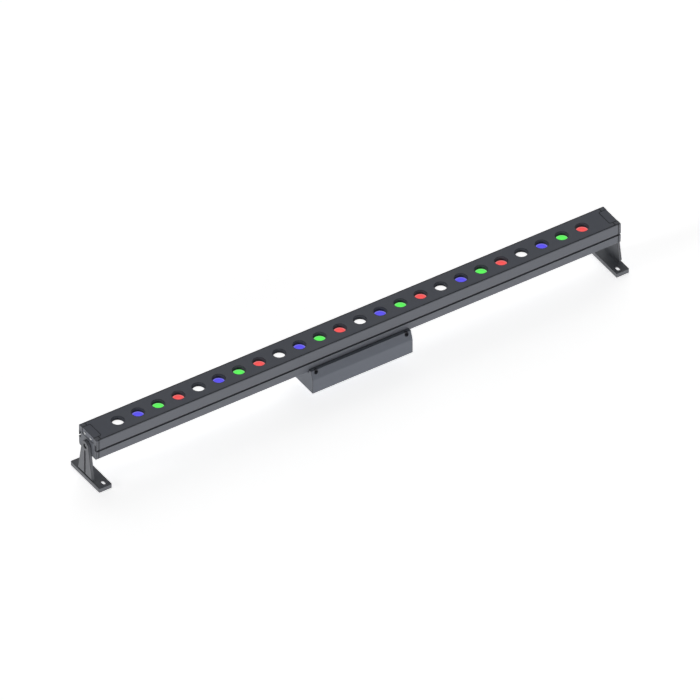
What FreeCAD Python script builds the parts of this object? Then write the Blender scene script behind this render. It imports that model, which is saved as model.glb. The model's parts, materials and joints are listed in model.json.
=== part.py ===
"""Outdoor wall washer light: a slim bar with a row of coloured lights, tilting between two brackets.

Millimetres. X runs along the bar, -Y is the side that faces the viewer, +Z is up. The origin
is on the mounting plane, midway between the two feet. Heights inside the bar are given as
depths below its light-emitting top face. The right end is drawn and the left end mirrors it.
"""
import FreeCAD, Part
import math
import os

from FreeCAD import Vector

# ---------------------------------------------------------------- row of lights
led_count = 24
led_pitch = 38.5
led_end_distance = 57.25          # bar end to the centre of the nearest light
led_colours = ["white", "blue", "green", "red"]

# ---------------------------------------------------------------- bar
bar_width = 52.0
bar_height = 40.0
pivot_height = 67.7               # pivot axis above the mounting plane
pivot_below_top = 25.3            # pivot axis below the top face of the bar
top_edge_radius = 1.2
bottom_edge_radius = 3.0
lower_panel_taper = 0.9           # each lower side panel leans in by this much at the bottom
rim_thickness = 1.5               # side wall beside the face plate
bottom_wall = 2.5
lower_side_wall = 2.5
web_thickness = 4.0               # floor that carries the light boards
stiffener_thickness = 3.0         # upright rib between the floor and the bottom wall

# side grooves of the bar
groove_below_top = 20.0           # upper lip of the mouth, below the top face
groove_mouth = 3.0
groove_lip = 1.5                  # wall in front of the groove's upper chamber
groove_depth = 4.0
groove_rise = 8.0                 # how far the groove runs up behind its lip
groove_wall = 1.8

# screw channels of the bar
rail_depth = 2.3                  # thickened lower corners that hold the driver box screws
rail_height = 4.5
port_radius = 2.6
port_spacing = 15.0               # between the two end cap screws
port_below_top = 34.5

# ---------------------------------------------------------------- face plate and optics
plate_thickness = 2.5
plate_side_gap = 0.5
plate_end_gap = 0.4
aperture_radius = 10.75
collar_wall = 1.25
collar_overlap = 1.5              # how far a collar reaches down past the lens face
face_gasket_thickness = 0.8
face_gasket_width = 4.5
lens_recess = 7.5                 # lens face below the top face
lens_clearance = 0.25             # round the lens, inside its collar
lens_height = 11.2
lens_rim = 2.0
lens_foot_radius = 5.5
lens_pocket_radius = 3.6
lens_pocket_depth = 3.2
led_side = 3.5
led_base_thickness = 0.8
led_dome_radius = 1.4
board_thickness = 1.6
board_side_clearance = 1.2
board_end_margin = 18.0           # board beyond the centre of its last light
board_joint_gap = 1.0             # between the two boards
pad_thickness = 0.5

# ---------------------------------------------------------------- ends of the bar
cap_thickness = 4.0
cap_lip_length = 9.0              # top lip of the end cap, measured from its outer face
cap_lip_clearance = 0.1
end_gasket_thickness = 0.8
end_gasket_inset = 0.9
clip_thickness = 1.0
clip_width = 32.6
clip_reach = 15.0                 # along the top face
clip_drop = 11.5                  # down the end cap
clip_corner_radius = 3.0
clip_sink = 0.5                   # clip face behind the end cap's outer face
clip_clearance = 0.3
clip_screw_spacing = 16.8
clip_screw_below_top = 6.5
clip_screw_radius = 1.5
clip_screw_head_radius = 2.3
clip_screw_head_height = 1.3
clip_screw_length = 6.0
clip_screw_boss_radius = 3.4
clip_screw_boss_length = 4.0
cap_screw_radius = 1.25
cap_screw_head_radius = 2.6
cap_screw_head_height = 1.35
cap_screw_length = 14.0
thread_clearance = 0.05

# ---------------------------------------------------------------- pivots
pivot_bolt_radius = 2.5
pivot_clearance = 0.05
pivot_boss_radius = 4.5
bolt_head_radius = 4.0
bolt_head_height = 1.5
bolt_socket_width = 3.0           # across the flats of the hexagon
bolt_socket_depth = 0.9
bolt_end_play = 0.1
bolt_grip = 12.0                  # length of thread inside the bar
counterbore_clearance = 0.4
counterbore_floor = 1.7           # bracket left under the bolt head
washer_radius = 8.0
washer_thickness = 1.0
washer_seat_depth = 0.8
washer_clearance = 0.1

# ---------------------------------------------------------------- brackets
bracket_gap = 0.3                 # between the bracket and the end cap
upright_thickness = 5.1
arch_radius = 9.7
upright_base_width = 42.2
upright_side_fillet = 3.0
upright_inner_fillet = 2.5
flute_width = 4.0                 # shallow upright groove in the outer face
flute_depth = 1.5
flute_below_pivot = 9.3
base_recess_height = 3.3          # set-back of the outer face just above the foot
base_recess_depth = 2.0
foot_width = 24.0
foot_length = 84.0
foot_height = 8.0
foot_web = 3.0
foot_rim = 3.0
foot_corner_radius = 1.0
slot_width = 6.5
slot_length = 11.0
slot_spacing = 62.0
slot_inset = 14.8                 # from the foot's outer face to the slots

# ---------------------------------------------------------------- driver box
box_length = 190.6
box_depth = 75.0
box_below_bar = 36.0
box_wall = 3.0
shoulder_rise = 6.0               # shoulders above the underside of the bar
shoulder_slant_height = 15.4
shoulder_slant_inset = 5.3
shoulder_bend_radius = 10.0       # soft bend between the side and the slanted shoulder
saddle_clearance = 0.15
saddle_floor = 2.7
box_screw_inset = 9.0             # from each end of the box
box_screw_rise = 2.4              # above the underside of the bar
box_screw_radius = 1.5
box_screw_head_radius = 2.75
box_screw_head_height = 2.0
box_screw_socket_width = 2.5
box_screw_socket_depth = 1.2
box_screw_length = 7.5
box_screw_web = 3.0               # shoulder left between the screw head and the bar
box_recess_radius = 3.4
box_recess_notch = 4.2
lid_thickness = 2.2
lid_gasket_thickness = 0.8
lid_gasket_width = 6.5
lid_rebate = 1.6
lid_clearance = 0.15
lid_screw_columns = 3
lid_screw_end_inset = 7.5
lid_boss_radius = 3.5
lid_boss_height = 12.0
lid_boss_overlap = 0.6            # boss sunk into the side wall
lid_screw_radius = 1.5
lid_screw_head_radius = 2.9
lid_screw_head_height = 1.6
lid_screw_length = 9.0

# ---------------------------------------------------------------- inside the driver box
driver_board_end_clearance = 7.3  # between the board and the gland's inner end
driver_board_side_clearance = 3.1 # between the board and the lid screw bosses
driver_board_thickness = 1.6
standoff_radius = 3.0
standoff_height = 5.0
standoff_inset = 6.0              # from the edges of the driver board
transformer_length = 36.0
transformer_width = 32.0
transformer_height = 19.0
transformer_x = -28.0
winding_radius = 11.0
capacitor_radius = 8.0
capacitor_height = 20.0
capacitor_left_inset = 14.0       # from the left end of the driver board
capacitor_right_inset = 18.0
capacitor_y = -6.0
wire_radius = 0.7
wire_pitch = 1.8
wire_passage_x = 30.0
wire_passage_y = 14.5
grommet_radius = 3.6
grommet_bore_radius = 2.1
grommet_flange = 1.0
grommet_clearance = 0.05

# ---------------------------------------------------------------- cable gland
gland_y = 22.0                    # the cable leaves past the side of the right bracket
gland_above_box_bottom = 15.0
gland_thread_radius = 6.0
gland_bore_radius = 4.4
gland_flats = 16.0                # across the flats of the gland body and lock nut
gland_hex_length = 4.0
gland_lock_length = 3.5
gland_inner_length = 8.0          # thread inside the box, wall included
gland_neck_length = 7.0
gland_neck_radius = 6.4
gland_nut_radius = 8.4
gland_nut_length = 9.0
gland_nut_wall = 1.6
gland_mouth_radius = 4.0
gland_seal_bore_radius = 3.5
gland_seal_length = 8.0

# ---------------------------------------------------------------- derived heights and lengths
bar_length = (led_count - 1) * led_pitch + 2 * led_end_distance
bar_half = bar_length / 2
bar_side = bar_width / 2
bar_top = pivot_height + pivot_below_top
bar_bottom = bar_top - bar_height
groove_bottom_depth = groove_below_top + groove_mouth
cavity_side = bar_side - groove_lip - groove_depth - groove_wall
ledge_depth = plate_thickness + face_gasket_thickness
board_top = bar_top - lens_recess - lens_height
pad_top = board_top - board_thickness
floor_top = pad_top - pad_thickness
chamber_top = min(floor_top - web_thickness, bar_top - groove_bottom_depth - groove_wall)
chamber_bottom = bar_bottom + bottom_wall
chamber_side = bar_side - lower_panel_taper - lower_side_wall
housing_half = bar_half - cap_thickness - end_gasket_thickness
plate_half = bar_half - cap_lip_length - plate_end_gap
plate_side = bar_side - rim_thickness - plate_side_gap
plate_bottom = bar_top - plate_thickness
lens_radius = aperture_radius - lens_clearance
lens_top = bar_top - lens_recess
led_places = [(index - (led_count - 1) / 2) * led_pitch for index in range(led_count)]
board_half = led_places[-1] + board_end_margin
board_side = cavity_side - board_side_clearance
bolt_bore = pivot_bolt_radius + pivot_clearance
upright_inner = bar_half + bracket_gap
bracket_outer = upright_inner + upright_thickness
bracket_inner = bracket_outer - foot_width
counterbore_face = upright_inner + counterbore_floor
slot_x = bracket_outer - slot_inset
box_half = box_length / 2
box_side = box_depth / 2
box_bottom = bar_bottom - box_below_bar
shoulder_top = bar_bottom + shoulder_rise
slant_bottom = shoulder_top - shoulder_slant_height
shoulder_side = box_side - shoulder_slant_inset
saddle_side = bar_side + saddle_clearance
box_ceiling = bar_bottom - saddle_floor
box_screw_x = box_half - box_screw_inset
box_screw_z = bar_bottom + box_screw_rise
box_screw_seat = saddle_side + box_screw_web
lid_top = box_bottom + lid_thickness
lid_seat = lid_top + lid_gasket_thickness
lid_rim = box_wall - lid_rebate
lid_boss_y = box_side - box_wall - lid_boss_radius + lid_boss_overlap
lid_boss_x = box_half - box_wall - lid_screw_end_inset
driver_board_half = box_half - gland_inner_length - driver_board_end_clearance
driver_board_side = lid_boss_y - lid_boss_radius - driver_board_side_clearance
capacitor_x = [capacitor_left_inset - driver_board_half, driver_board_half - capacitor_right_inset]
standoff_top = lid_top + standoff_height
driver_board_top = standoff_top + driver_board_thickness
gland_z = box_bottom + gland_above_box_bottom
drill_overrun = 1.0               # how far a cutting tool runs past a face


# ---------------------------------------------------------------- shape helpers
def block(x_low, x_high, y_low, y_high, z_low, z_high):
    """Box between two corners."""
    return Part.makeBox(x_high - x_low, y_high - y_low, z_high - z_low, Vector(x_low, y_low, z_low))


def rod_x(radius, x_low, x_high, y, z):
    """Cylinder along X."""
    return Part.makeCylinder(radius, x_high - x_low, Vector(x_low, y, z), Vector(1, 0, 0))


def rod_y(radius, y_low, y_high, x, z):
    """Cylinder along Y."""
    return Part.makeCylinder(radius, y_high - y_low, Vector(x, y_low, z), Vector(0, 1, 0))


def rod_z(radius, z_low, z_high, x, y):
    """Cylinder along Z."""
    return Part.makeCylinder(radius, z_high - z_low, Vector(x, y, z_low), Vector(0, 0, 1))


def corner_arc(previous, corner, following, radius):
    """Start, middle and end of the arc that rounds one corner of an outline."""
    back = (previous - corner).normalize()
    ahead = (following - corner).normalize()
    half_angle = back.getAngle(ahead) / 2
    run = radius / math.tan(half_angle)
    bisector = (back + ahead).normalize()
    reach = radius / math.sin(half_angle) - radius
    return corner + back * run, corner + bisector * reach, corner + ahead * run


def outline(corners, place):
    """Closed wire through corners (a, b, radius); place turns a flat point into one in space."""
    flat = [Vector(a, b, 0) for a, b, radius in corners]
    stops = []
    for index, (a, b, radius) in enumerate(corners):
        following = flat[(index + 1) % len(flat)]
        if radius > 0:
            stops.append(corner_arc(flat[index - 1], flat[index], following, radius))
        else:
            stops.append((flat[index], flat[index], flat[index]))
    edges = []
    for index, (start, middle, end) in enumerate(stops):
        following = stops[(index + 1) % len(stops)][0]
        if corners[index][2] > 0:
            edges.append(Part.Arc(place(start), place(middle), place(end)).toShape())
        edges.append(Part.LineSegment(place(end), place(following)).toShape())
    return Part.Wire(edges)


def prism_x(corners, x_low, x_high):
    """Outline in (y, z) carried along X."""
    wire = outline(corners, lambda point: Vector(x_low, point.x, point.y))
    return Part.Face(wire).extrude(Vector(x_high - x_low, 0, 0))


def prism_y(corners, y_low, y_high):
    """Outline in (x, z) carried along Y."""
    wire = outline(corners, lambda point: Vector(point.x, y_low, point.y))
    return Part.Face(wire).extrude(Vector(0, y_high - y_low, 0))


def prism_z(corners, z_low, z_high):
    """Outline in (x, y) carried along Z."""
    wire = outline(corners, lambda point: Vector(point.x, point.y, z_low))
    return Part.Face(wire).extrude(Vector(0, 0, z_high - z_low))


def rectangle(a_low, a_high, b_low, b_high, radius=0.0):
    """Corners of an upright rectangle, all with one radius."""
    return [
        (a_low, b_low, radius),
        (a_high, b_low, radius),
        (a_high, b_high, radius),
        (a_low, b_high, radius),
    ]


def hexagon(flats, centre_a, centre_b):
    """Corners of a regular hexagon with the given width across its flats."""
    reach = flats / math.sqrt(3)
    corners = []
    for step in range(6):
        angle = math.radians(60 * step)
        corners.append((centre_a + reach * math.cos(angle), centre_b + reach * math.sin(angle), 0.0))
    return corners


def turned(profile, x, y):
    """Solid of revolution about a vertical axis from (radius, height) points."""
    points = [Vector(x + radius, y, height) for radius, height in profile]
    points.append(points[0])
    face = Part.Face(Part.makePolygon(points))
    return face.revolve(Vector(x, y, 0), Vector(0, 0, 1), 360)


def turned_x(profile, y, z):
    """Solid of revolution about an axis along X from (x, radius) points."""
    points = [Vector(x, y, z + radius) for x, radius in profile]
    points.append(points[0])
    face = Part.Face(Part.makePolygon(points))
    return face.revolve(Vector(0, y, z), Vector(1, 0, 0), 360)


def joined(shapes):
    """One solid from touching or crossing shapes, without seams between flush faces."""
    return shapes[0].fuse(shapes[1:]).removeSplitter()


def mirrored(shape):
    """The same shape at the other end of the bar."""
    return shape.mirror(Vector(0, 0, 0), Vector(1, 0, 0))


def both_ends(shape):
    """A piece and its twin at the other end, as separate solids."""
    return Part.makeCompound([shape, mirrored(shape)])


# ---------------------------------------------------------------- bar housing
def bar_outline():
    """Outer section of the bar, without its side grooves."""
    bottom_side = bar_side - lower_panel_taper
    knee = bar_top - groove_bottom_depth
    return [
        (-bottom_side, bar_bottom, bottom_edge_radius),
        (bottom_side, bar_bottom, bottom_edge_radius),
        (bar_side, knee, 0.0),
        (bar_side, bar_top, top_edge_radius),
        (-bar_side, bar_top, top_edge_radius),
        (-bar_side, knee, 0.0),
    ]


def side_grooves(x_low, x_high):
    """Room of the two side grooves: a mouth and a taller chamber behind its upper lip."""
    mouth_top = bar_top - groove_below_top
    mouth_bottom = bar_top - groove_bottom_depth
    lip_back = bar_side - groove_lip
    mouth = block(x_low, x_high, lip_back, bar_side + drill_overrun, mouth_bottom, mouth_top)
    chamber = block(x_low, x_high, lip_back - groove_depth, lip_back, mouth_bottom, mouth_top + groove_rise)
    groove = joined([mouth, chamber])
    return Part.makeCompound([groove, groove.mirror(Vector(0, 0, 0), Vector(0, 1, 0))])


def bar_section(x_low, x_high):
    """Solid bar with its side grooves, as the end caps and the housing share it."""
    grooves = side_grooves(x_low - drill_overrun, x_high + drill_overrun)
    return prism_x(bar_outline(), x_low, x_high).cut(grooves)


def housing():
    """Extruded housing: plate channel, optics channel, boss, screw channels and lower chamber."""
    low, high = -housing_half, housing_half
    past_low, past_high = low - drill_overrun, high + drill_overrun
    body = bar_section(low, high)
    rim_side = bar_side - rim_thickness
    channel = block(past_low, past_high, -rim_side, rim_side, bar_top - ledge_depth, bar_top + drill_overrun)
    cavity = block(past_low, past_high, -cavity_side, cavity_side, floor_top, bar_top)
    chamber = block(past_low, past_high, -chamber_side, chamber_side, chamber_bottom, chamber_top)
    body = body.cut([channel, cavity, chamber])
    additions = [body]
    boss = rod_x(pivot_boss_radius, low, high, 0, pivot_height)
    boss_room = block(low, high, -bar_side, bar_side, bar_bottom, floor_top)
    additions.append(boss.common(boss_room))
    half_rib = stiffener_thickness / 2
    additions.append(block(low, high, -half_rib, half_rib, bar_bottom + bottom_wall / 2, floor_top))
    port_z = bar_top - port_below_top
    half_web = port_radius / 2
    for side in (-1, 1):
        port_y = side * port_spacing / 2
        additions.append(rod_x(port_radius, low, high, port_y, port_z))
        foot_low = bar_bottom + bottom_wall / 2
        additions.append(block(low, high, port_y - half_web, port_y + half_web, foot_low, port_z))
        rail_y = sorted((side * (chamber_side - rail_depth), side * (chamber_side + lower_side_wall / 2)))
        additions.append(block(low, high, rail_y[0], rail_y[1], foot_low, chamber_bottom + rail_height))
    body = joined(additions)
    drills = [rod_x(bolt_bore, past_low, past_high, 0, pivot_height)]
    for side in (-1, 1):
        bore = cap_screw_radius + thread_clearance
        drills.append(rod_x(bore, past_low, past_high, side * port_spacing / 2, port_z))
    drills.extend(box_screw_shafts(box_screw_radius + thread_clearance))
    drills.append(wire_hole(bar_bottom - drill_overrun, floor_top + drill_overrun))
    return body.cut(drills)


# ---------------------------------------------------------------- face plate, gasket, optics
def clip_pocket():
    """Room for the right clip's tongue, sunk flush into the top face."""
    side = clip_width / 2 + clip_clearance
    low = bar_half - clip_reach - clip_clearance
    high = bar_half + drill_overrun
    corners = [
        (low, -side, clip_corner_radius),
        (high, -side, 0.0),
        (high, side, 0.0),
        (low, side, clip_corner_radius),
    ]
    return prism_z(corners, bar_top - clip_thickness, bar_top + drill_overrun)


def face_plate():
    """Flat cover between the rims, with an aperture and a deep collar for each lens."""
    plate = block(-plate_half, plate_half, -plate_side, plate_side, plate_bottom, bar_top)
    collar_end = lens_top - collar_overlap
    collars = []
    holes = [clip_pocket(), mirrored(clip_pocket())]
    for x in led_places:
        collars.append(rod_z(aperture_radius + collar_wall, collar_end, plate_bottom, x, 0))
        holes.append(rod_z(aperture_radius, collar_end - drill_overrun, bar_top + drill_overrun, x, 0))
    return joined([plate] + collars).cut(holes)


def face_gasket():
    """Flat rubber frame between the housing's ledges and the face plate."""
    z_low = bar_top - ledge_depth
    outer = block(-plate_half, plate_half, -plate_side, plate_side, z_low, plate_bottom)
    inner_half = plate_half - face_gasket_width
    inner_side = plate_side - face_gasket_width
    opening = block(-inner_half, inner_half, -inner_side, inner_side, z_low - drill_overrun, bar_top)
    return outer.cut(opening)


def lens(x):
    """Moulded optic: flat face, rim, cone down to the board and a pocket over the light source."""
    profile = [
        (lens_pocket_radius, board_top),
        (lens_foot_radius, board_top),
        (lens_radius, lens_top - lens_rim),
        (lens_radius, lens_top),
        (0.0, lens_top),
        (0.0, board_top + lens_pocket_depth),
        (lens_pocket_radius, board_top + lens_pocket_depth),
    ]
    return turned(profile, x, 0)


def light_source(x):
    """Square package with a dome on it."""
    half = led_side / 2
    base_top = board_top + led_base_thickness
    base = block(x - half, x + half, -half, half, board_top, base_top)
    dome = Part.makeSphere(led_dome_radius, Vector(x, 0, base_top))
    upper = block(x - half, x + half, -half, half, base_top, base_top + led_dome_radius + drill_overrun)
    return joined([base, dome.common(upper)])


def wire_hole(z_low, z_high):
    """Passage of the wires up to the boards."""
    return rod_z(grommet_radius, z_low, z_high, wire_passage_x, wire_passage_y)


def led_board(side):
    """One of the two aluminium boards, to the left or right of the middle."""
    ends = sorted((side * board_joint_gap / 2, side * board_half))
    return block(ends[0], ends[1], -board_side, board_side, pad_top, board_top)


def thermal_pads():
    """Soft pads under the two boards, the right one cleared for the wires."""
    pads = []
    for side in (-1, 1):
        ends = sorted((side * board_joint_gap / 2, side * board_half))
        pad = block(ends[0], ends[1], -board_side, board_side, floor_top, pad_top)
        pads.append(pad.cut(wire_hole(floor_top - drill_overrun, pad_top + drill_overrun)))
    return Part.makeCompound(pads)


# ---------------------------------------------------------------- right end of the bar
def end_cap():
    """Right end cap: plate, top lip, recess for the clip, washer seat and screw holes."""
    plate_low = bar_half - cap_thickness
    lip_side = bar_side - rim_thickness - cap_lip_clearance
    plate = bar_section(plate_low, bar_half)
    lip = block(bar_half - cap_lip_length, plate_low, -lip_side, lip_side, plate_bottom, bar_top)
    screw_z = bar_top - clip_screw_below_top
    boss_low = plate_low - clip_screw_boss_length
    half_spacing = clip_screw_spacing / 2
    bosses = [
        rod_x(clip_screw_boss_radius, boss_low, plate_low, side * half_spacing, screw_z) for side in (-1, 1)]
    body = joined([plate, lip] + bosses)
    recess_depth = clip_sink + clip_thickness
    recess_side = clip_width / 2 + clip_clearance
    recess_low = bar_top - clip_drop - clip_clearance
    recess_corners = [
        (-recess_side, recess_low, clip_corner_radius),
        (recess_side, recess_low, clip_corner_radius),
        (recess_side, bar_top + drill_overrun, 0.0),
        (-recess_side, bar_top + drill_overrun, 0.0),
    ]
    cuts = [prism_x(recess_corners, bar_half - recess_depth, bar_half + drill_overrun), clip_pocket()]
    seat_radius = washer_radius + washer_clearance
    past = bar_half + drill_overrun
    cuts.append(rod_x(seat_radius, bar_half - washer_seat_depth, past, 0, pivot_height))
    cuts.append(rod_x(bolt_bore, plate_low - drill_overrun, past, 0, pivot_height))
    for side in (-1, 1):
        bore = clip_screw_radius + thread_clearance
        cuts.append(rod_x(bore, boss_low - drill_overrun, past, side * half_spacing, screw_z))
        cuts.append(cap_screw(side, thread_clearance))
    return body.cut(cuts)


def end_gasket():
    """Right rubber frame between the end cap and the housing, set in from the outer faces."""
    low = housing_half
    high = housing_half + end_gasket_thickness
    side = bar_side - lower_panel_taper - end_gasket_inset
    lip_under = plate_bottom
    sheet = block(low, high, -side, side, bar_bottom + end_gasket_inset, lip_under)
    cavity = block(low - drill_overrun, high + drill_overrun, -cavity_side, cavity_side, floor_top, bar_top)
    holes = [cavity, side_grooves(low - drill_overrun, high + drill_overrun)]
    holes.append(rod_x(bolt_bore, low - drill_overrun, high + drill_overrun, 0, pivot_height))
    port_z = bar_top - port_below_top
    for screw_side in (-1, 1):
        bore = cap_screw_radius + thread_clearance
        place = screw_side * port_spacing / 2
        holes.append(rod_x(bore, low - drill_overrun, high + drill_overrun, place, port_z))
    return sheet.cut(holes)


def end_clip():
    """Right sheet clip: a tongue sunk in the face plate and a leg in the end cap's recess."""
    side = clip_width / 2
    face = bar_half - clip_sink
    tongue_corners = [
        (bar_half - clip_reach, -side, clip_corner_radius),
        (face, -side, 0.0),
        (face, side, 0.0),
        (bar_half - clip_reach, side, clip_corner_radius),
    ]
    leg_corners = [
        (-side, bar_top - clip_drop, clip_corner_radius),
        (side, bar_top - clip_drop, clip_corner_radius),
        (side, bar_top, 0.0),
        (-side, bar_top, 0.0),
    ]
    tongue = prism_z(tongue_corners, bar_top - clip_thickness, bar_top)
    leg = prism_x(leg_corners, face - clip_thickness, face)
    clip = joined([tongue, leg])
    screw_z = bar_top - clip_screw_below_top
    bore = clip_screw_radius + thread_clearance
    places = (-clip_screw_spacing / 2, clip_screw_spacing / 2)
    return clip.cut([rod_x(bore, face - clip_thickness, face + drill_overrun, y, screw_z) for y in places])


def clip_screw(y):
    """Round-headed screw through the clip's leg into the end cap, at the right end."""
    z = bar_top - clip_screw_below_top
    face = bar_half - clip_sink
    edge = clip_screw_head_height / 2
    profile = [
        (face - clip_screw_length, 0.0),
        (face - clip_screw_length, clip_screw_radius),
        (face, clip_screw_radius),
        (face, clip_screw_head_radius),
        (face + edge, clip_screw_head_radius),
        (face + clip_screw_head_height, clip_screw_head_radius - edge),
        (face + clip_screw_head_height, 0.0),
    ]
    return turned_x(profile, y, z)


def cap_screw(side, grown=0.0):
    """Countersunk end cap screw at the right end, or the room for it when grown."""
    y = side * port_spacing / 2
    z = bar_top - port_below_top
    radius = cap_screw_radius + grown
    head = cap_screw_head_radius + grown
    profile = [
        (bar_half - cap_screw_length, 0.0),
        (bar_half - cap_screw_length, radius),
        (bar_half - cap_screw_head_height, radius),
        (bar_half, head),
        (bar_half + grown, head),
        (bar_half + grown, 0.0),
    ]
    if grown == 0:
        profile.pop(4)
        profile[4] = (bar_half, 0.0)
    return turned_x(profile, y, z)


# ---------------------------------------------------------------- right pivot and bracket
def pivot_bolt():
    """Low-headed hexagon socket bolt, held by the bar; the bracket turns on it."""
    seat = counterbore_face + bolt_end_play
    tip = housing_half - bolt_grip
    shank = rod_x(pivot_bolt_radius, tip, seat, 0, pivot_height)
    head = rod_x(bolt_head_radius, seat, seat + bolt_head_height, 0, pivot_height)
    head_top = seat + bolt_head_height
    socket = prism_x(hexagon(bolt_socket_width, 0, pivot_height), head_top - bolt_socket_depth, head_top)
    return joined([shank, head]).cut(socket)


def friction_washer():
    """Washer in the end cap's seat, just clear of the bracket."""
    low = bar_half - washer_seat_depth
    ring = rod_x(washer_radius, low, low + washer_thickness, 0, pivot_height)
    return ring.cut(rod_x(bolt_bore, low, low + washer_thickness, 0, pivot_height))


def tangent_point(point, centre, radius):
    """Where the line from an outside point, on the +a side, touches a circle above it."""
    reach = point - centre
    turn = math.acos(radius / reach.Length)
    angle = math.atan2(reach.y, reach.x) + turn
    return centre + Vector(radius * math.cos(angle), radius * math.sin(angle), 0)


def upright_profile():
    """Face of the tapered upright: straight sides, flared at the foot and closed by an arch."""
    base_half = upright_base_width / 2
    flare_half = base_half + 2 * upright_side_fillet
    root = foot_height - foot_web
    touch = tangent_point(Vector(base_half, foot_height, 0), Vector(0, pivot_height, 0), arch_radius)
    start = corner_arc(Vector(flare_half, foot_height, 0), Vector(base_half, foot_height, 0), touch,
                       upright_side_fillet)
    return flare_half, root, touch, start


def upright_face(x):
    """Flat face of the upright in the plane at x."""
    flare_half, root, touch, flare = upright_profile()

    def place(y, z):
        return Vector(x, y, z)

    edges = [Part.LineSegment(place(-flare_half, root), place(flare_half, root)).toShape()]
    edges.append(Part.LineSegment(place(flare_half, root), place(flare_half, foot_height)).toShape())
    edges.append(Part.LineSegment(place(flare_half, foot_height), place(flare[0].x, flare[0].y)).toShape())
    arc = [place(point.x, point.y) for point in flare]
    edges.append(Part.Arc(arc[0], arc[1], arc[2]).toShape())
    edges.append(Part.LineSegment(arc[2], place(touch.x, touch.y)).toShape())
    crown = place(0, pivot_height + arch_radius)
    edges.append(Part.Arc(place(touch.x, touch.y), crown, place(-touch.x, touch.y)).toShape())
    edges.append(Part.LineSegment(place(-touch.x, touch.y), place(-flare[2].x, flare[2].y)).toShape())
    back = [place(-point.x, point.y) for point in flare]
    edges.append(Part.Arc(back[2], back[1], back[0]).toShape())
    edges.append(Part.LineSegment(back[0], place(-flare_half, foot_height)).toShape())
    edges.append(Part.LineSegment(place(-flare_half, foot_height), place(-flare_half, root)).toShape())
    return Part.Face(Part.Wire(edges))


def foot():
    """Hollow foot plate: a web with a rim all round, open underneath."""
    half = foot_length / 2
    outer = prism_z(rectangle(bracket_inner, bracket_outer, -half, half, foot_corner_radius), 0, foot_height)
    hollow = block(bracket_inner + foot_rim, bracket_outer - foot_rim, -half + foot_rim, half - foot_rim,
                   -drill_overrun, foot_height - foot_web)
    return outer.cut(hollow)


def slot_tool(y):
    """Long hole through the foot, running along Y."""
    radius = slot_width / 2
    straight = (slot_length - slot_width) / 2
    low = -drill_overrun
    high = foot_height + drill_overrun
    ends = [rod_z(radius, low, high, slot_x, y + side * straight) for side in (-1, 1)]
    middle = block(slot_x - radius, slot_x + radius, y - straight, y + straight, low, high)
    return joined(ends + [middle])


def bracket():
    """Right bracket: foot, tapered and fluted upright, pivot bore and counterbore."""
    face = upright_face(upright_inner)
    plate = face.extrude(Vector(upright_thickness, 0, 0))
    radius = upright_inner_fillet
    cove = block(upright_inner - radius, upright_inner, -foot_length / 2, foot_length / 2,
                 foot_height, foot_height + radius)
    hollow = rod_y(radius, -foot_length / 2, foot_length / 2, upright_inner - radius, foot_height + radius)
    reach = face.extrude(Vector(-radius, 0, 0))
    cove = cove.cut(hollow).common(reach)
    body = joined([foot(), plate, cove])
    past = bracket_outer + drill_overrun
    half_flute = flute_width / 2
    flute_top = pivot_height - flute_below_pivot
    cuts = [block(bracket_outer - flute_depth, past, -half_flute, half_flute, foot_height, flute_top)]
    half_foot = foot_length / 2
    recess_top = foot_height + base_recess_height
    recess_face = bracket_outer - base_recess_depth
    cuts.append(block(recess_face, past, -half_foot, half_foot, foot_height, recess_top))
    cuts.append(rod_x(bolt_bore, upright_inner - drill_overrun, past, 0, pivot_height))
    cuts.append(rod_x(bolt_head_radius + counterbore_clearance, counterbore_face, past, 0, pivot_height))
    cuts.extend([slot_tool(side * slot_spacing / 2) for side in (-1, 1)])
    return body.cut(cuts)


# ---------------------------------------------------------------- driver box
def box_outline():
    """Outer section of the driver box, with sloping shoulders and a saddle for the bar."""
    return [
        (-box_side, box_bottom, 0.0),
        (box_side, box_bottom, 0.0),
        (box_side, slant_bottom, shoulder_bend_radius),
        (shoulder_side, shoulder_top, 0.0),
        (saddle_side, shoulder_top, 0.0),
        (saddle_side, bar_bottom, 0.0),
        (-saddle_side, bar_bottom, 0.0),
        (-saddle_side, shoulder_top, 0.0),
        (-shoulder_side, shoulder_top, 0.0),
        (-box_side, slant_bottom, shoulder_bend_radius),
    ]


def box_cavity_outline():
    """Inner section of the driver box, one wall in from the outside, open at the bottom."""
    slope = shoulder_slant_inset / shoulder_slant_height
    side = box_side - box_wall
    knee = min(slant_bottom, box_ceiling - box_wall)
    ceiling_side = side - slope * (box_ceiling - knee)
    low = box_bottom - drill_overrun
    return [
        (-side, low, 0.0),
        (side, low, 0.0),
        (side, knee, 0.0),
        (ceiling_side, box_ceiling, 0.0),
        (-ceiling_side, box_ceiling, 0.0),
        (-side, knee, 0.0),
    ]


def box_screw_shafts(radius):
    """The four level shafts of the driver box screws, from their seats into the bar."""
    shafts = []
    for end in (-1, 1):
        for side in (-1, 1):
            reach = sorted((side * box_screw_seat, side * (box_screw_seat - box_screw_length)))
            shafts.append(rod_y(radius, reach[0], reach[1], end * box_screw_x, box_screw_z))
    return shafts


def screw_recesses():
    """Round screw recesses in the shoulders, each with a notch up to the shoulder's top."""
    tools = []
    half_notch = box_recess_notch / 2
    for end in (-1, 1):
        for side in (-1, 1):
            x = end * box_screw_x
            reach = sorted((side * box_screw_seat, side * (box_side + drill_overrun)))
            hole = rod_y(box_recess_radius, reach[0], reach[1], x, box_screw_z)
            top = shoulder_top + drill_overrun
            notch = block(x - half_notch, x + half_notch, reach[0], reach[1], box_screw_z, top)
            tools.append(joined([hole, notch]))
    return tools


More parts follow.
